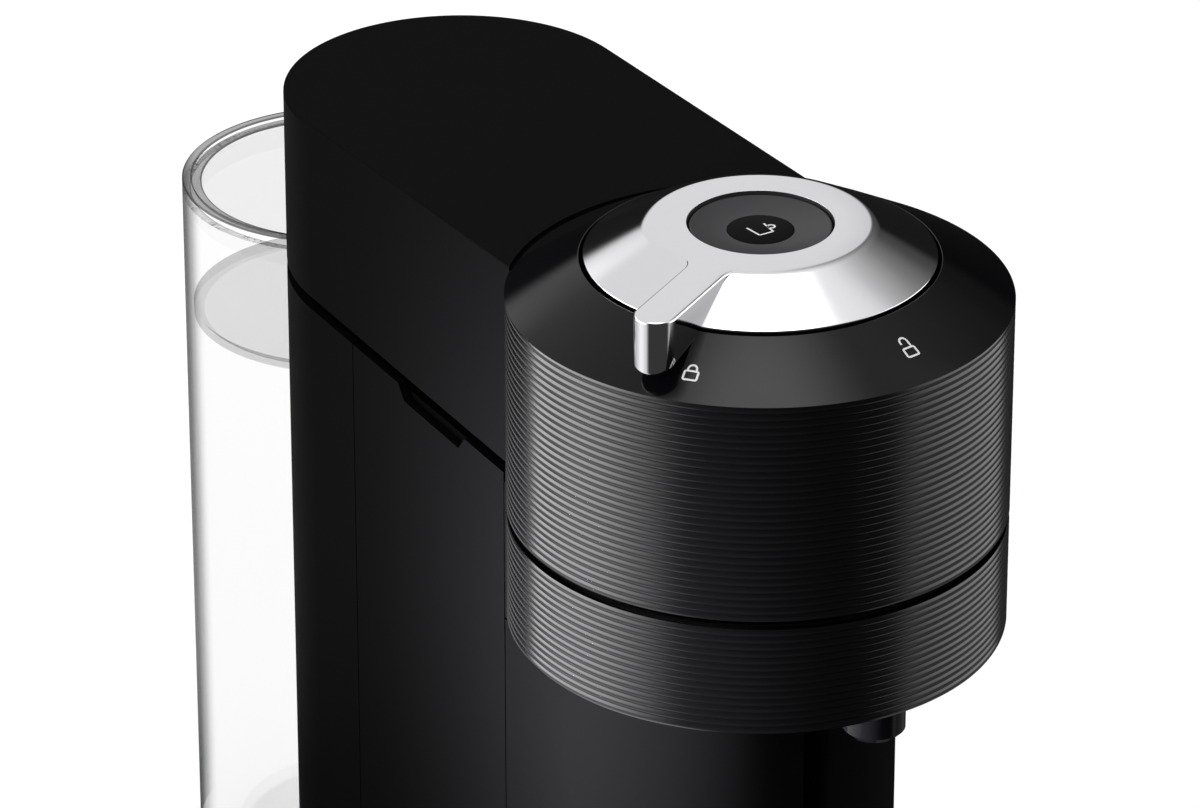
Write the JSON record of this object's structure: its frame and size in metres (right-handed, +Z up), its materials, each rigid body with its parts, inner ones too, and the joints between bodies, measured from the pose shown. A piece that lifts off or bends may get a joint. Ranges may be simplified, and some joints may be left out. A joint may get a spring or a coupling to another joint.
{
  "type": "pod coffee machine",
  "caption": "Capsule coffee machine with a ribbed drum head on a hinged neck, chrome lock lever, start button, slim column, round cup support and a clear round water tank behind.",
  "frame": {"origin": "centre of the bounding box at the floor", "axes": "+Z up, -Y to the front (cup support), +X to the right seen from the front"},
  "size_m": [0.142, 0.4268, 0.314],
  "materials": {
    "satin_black_plastic": "satin",
    "ribbed_black_plastic": "gloss",
    "gloss_black_plastic": "gloss",
    "chrome_plate": "polished",
    "button_plastic": "satin",
    "button_lens": "gloss",
    "clear_plastic": "clear",
    "black_rubber": "matte",
    "hose_silicone": "matte",
    "structural_plastic": "matte",
    "bowl_plastic": "satin",
    "steel": "brushed",
    "zinc_screw": "zinc plated",
    "cast_aluminium": "cast",
    "pump_metal": "satin",
    "board": "satin",
    "white_plastic": "satin"
  },
  "bodies": {
    "machine": {"base_plate": "satin_black_plastic", "rubber_feet": "black_rubber", "base_screws": "zinc_screw", "chassis": "structural_plastic", "left_side_panel": "satin_black_plastic", "right_side_panel": "satin_black_plastic", "left_rear_cover": "satin_black_plastic", "right_rear_cover": "satin_black_plastic", "tank_cradle": "satin_black_plastic", "column_deck": "structural_plastic", "hinge_arms": "structural_plastic", "hinge_pin": "steel", "lower_drum": "ribbed_black_plastic", "brew_bowl": "bowl_plastic", "rotor_bearings": "steel", "code_reader": "gloss_black_plastic", "spout": "gloss_black_plastic", "drive_cover": "satin_black_plastic", "drive_motor": "steel", "drive_belt": "black_rubber", "water_pump": "pump_metal", "pump_mount": "black_rubber", "heater_block": "cast_aluminium", "flow_meter": "white_plastic", "control_board": "board", "suction_hose": "hose_silicone", "heater_hose": "hose_silicone", "riser_hose": "hose_silicone", "tank_dock": "structural_plastic", "cord_gland": "black_rubber"},
    "head": {"neck_cover": "satin_black_plastic", "neck_underplate": "structural_plastic", "hinge_lugs": "structural_plastic", "upper_drum": "ribbed_black_plastic", "top_ring": "gloss_black_plastic", "head_plate": "structural_plastic", "injection_bearing": "steel", "chamber_seal": "black_rubber", "button_switch": "structural_plastic", "head_hose": "hose_silicone"},
    "locking_lever": {"lever": "chrome_plate", "lock_ring": "structural_plastic"},
    "start_button": {"button": "button_plastic", "button_lens": "button_lens"},
    "rotor": {"capsule_holder": "bowl_plastic", "driven_pulley": "structural_plastic"},
    "injector": {"injection_plate": "steel"},
    "motor_rotor": {"motor_pulley": "steel"},
    "container": {"capsule_container": "satin_black_plastic"},
    "support": {"cup_support": "satin_black_plastic"},
    "grid": {"drip_grid": "gloss_black_plastic"},
    "tank": {"water_tank": "clear_plastic", "tank_lid": "clear_plastic", "tank_valve": "white_plastic"}
  },
  "joints": [
    {"name": "head_tilt", "type": "hinge", "parent": "machine", "child": "head", "pos_m": [0, 0.13, 0.252], "axis": [-1, 0, 0], "range_deg": [0, 30]},
    {"name": "lever_turn", "type": "hinge", "parent": "head", "child": "locking_lever", "pos_m": [0, -0.068, 0.3], "axis": [0, 0, 1], "range_deg": [0, 57]},
    {"name": "button_press", "type": "slide", "parent": "head", "child": "start_button", "axis": [0, 0, -1], "range_m": [0, 0.0012], "stiffness_N_per_m": 1500, "springref_m": -0.0005},
    {"name": "holder_spin", "type": "hinge", "parent": "machine", "child": "rotor", "pos_m": [0, -0.068, 0.2], "axis": [0, 0, 1], "continuous": true},
    {"name": "injection_spin", "type": "hinge", "parent": "head", "child": "injector", "pos_m": [0, -0.068, 0.23], "axis": [0, 0, 1], "continuous": true},
    {"name": "motor_spin", "type": "hinge", "parent": "machine", "child": "motor_rotor", "pos_m": [0, 0.007, 0.185], "axis": [0, 0, 1], "continuous": true},
    {"name": "container_slide", "type": "slide", "parent": "machine", "child": "container", "axis": [0, -1, 0], "range_m": [0, 0.11]},
    {"name": "cup_lift", "type": "slide", "parent": "container", "child": "support", "axis": [0, 0, 1], "range_m": [0, 0.06]},
    {"name": "grid_lift", "type": "slide", "parent": "support", "child": "grid", "axis": [0, 0, 1], "range_m": [0, 0.03]},
    {"name": "tank_slide", "type": "slide", "parent": "machine", "child": "tank", "axis": [0, 1, 0], "range_m": [0, 0.12]}
  ],
  "couplings": [
    {"joint": "injection_spin", "follows": "holder_spin", "ratio": 1},
    {"joint": "motor_spin", "follows": "holder_spin", "ratio": 2.8889}
  ]
}
